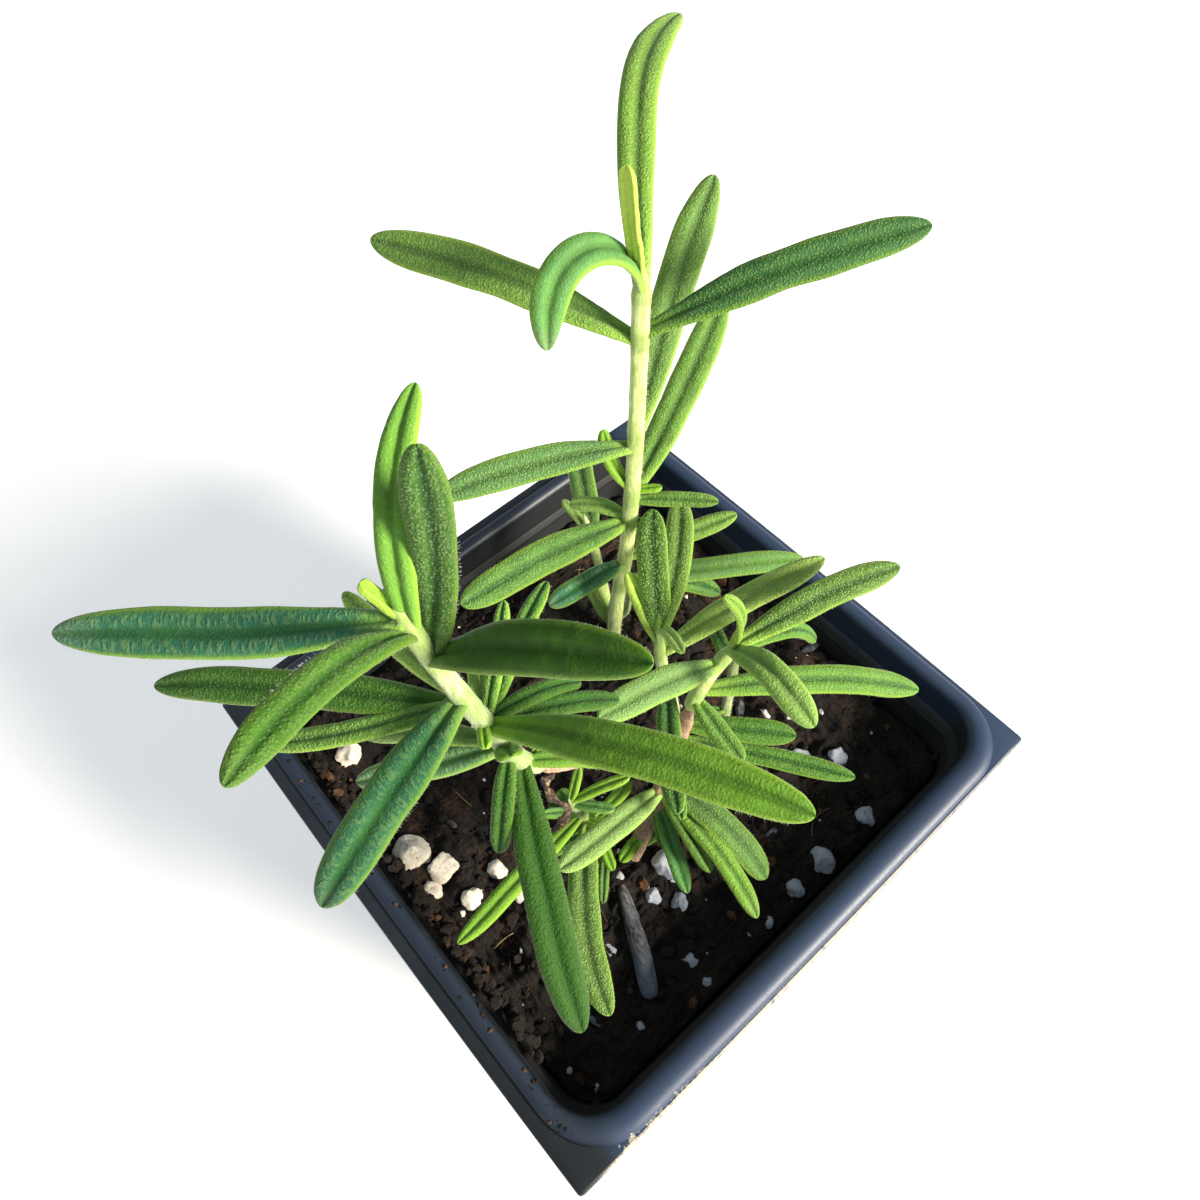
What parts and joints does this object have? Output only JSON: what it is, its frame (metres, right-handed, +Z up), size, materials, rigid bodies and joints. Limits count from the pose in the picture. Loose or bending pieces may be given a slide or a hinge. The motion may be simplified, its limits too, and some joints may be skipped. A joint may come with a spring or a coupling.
{
  "type": "potted rosemary plant",
  "caption": "Young rosemary plant with narrow blunt leaves on branching stems, in a square nursery pot filled with dark soil and perlite grains.",
  "frame": {"origin": "middle of the pot's flat underside", "axes": "+Z up; the pot's sides lie along X and Y, and the corner between +X and -Y is the near one in the picture"},
  "size_m": [0.0898, 0.0928, 0.1715],
  "materials": {
    "pot_plastic": "thin black-blue moulded plastic, satin, with dust and a few crumbs of soil on the rim",
    "soil": "damp dark peat, crumbly, with brown fibres",
    "leaf": "fresh green, finely felted and pebbled above, pale and hairy below, semi-matte",
    "stem": "pale yellow-green, with short white hairs",
    "wood": "tan-pink young bark, matte",
    "dead_leaf": "dry brown, wrinkled",
    "bark": "weathered grey-brown, fibrous",
    "perlite": "white, porous, matte"
  },
  "bodies": {
    "root": {"pot": "pot_plastic", "soil": "soil", "woody_stem": "wood", "tall_shoot": "leaf", "back_shoot": "leaf", "side_shoot": "leaf", "low_shoot": "leaf", "right_shoot": "leaf", "left_shoot": "leaf", "middle_shoot": "leaf", "bark_bit": "bark", "perlite_grain_1": "perlite", "perlite_grain_2": "perlite", "perlite_grain_3": "perlite", "perlite_grain_4": "perlite", "perlite_grain_5": "perlite", "perlite_grain_6": "perlite", "perlite_grain_7": "perlite", "perlite_grain_8": "perlite", "perlite_grain_9": "perlite", "perlite_grain_10": "perlite", "perlite_grain_11": "perlite", "perlite_grain_12": "perlite", "perlite_grain_13": "perlite", "perlite_grain_14": "perlite", "perlite_grain_15": "perlite", "perlite_grain_16": "perlite"}
  },
  "joints": []
}
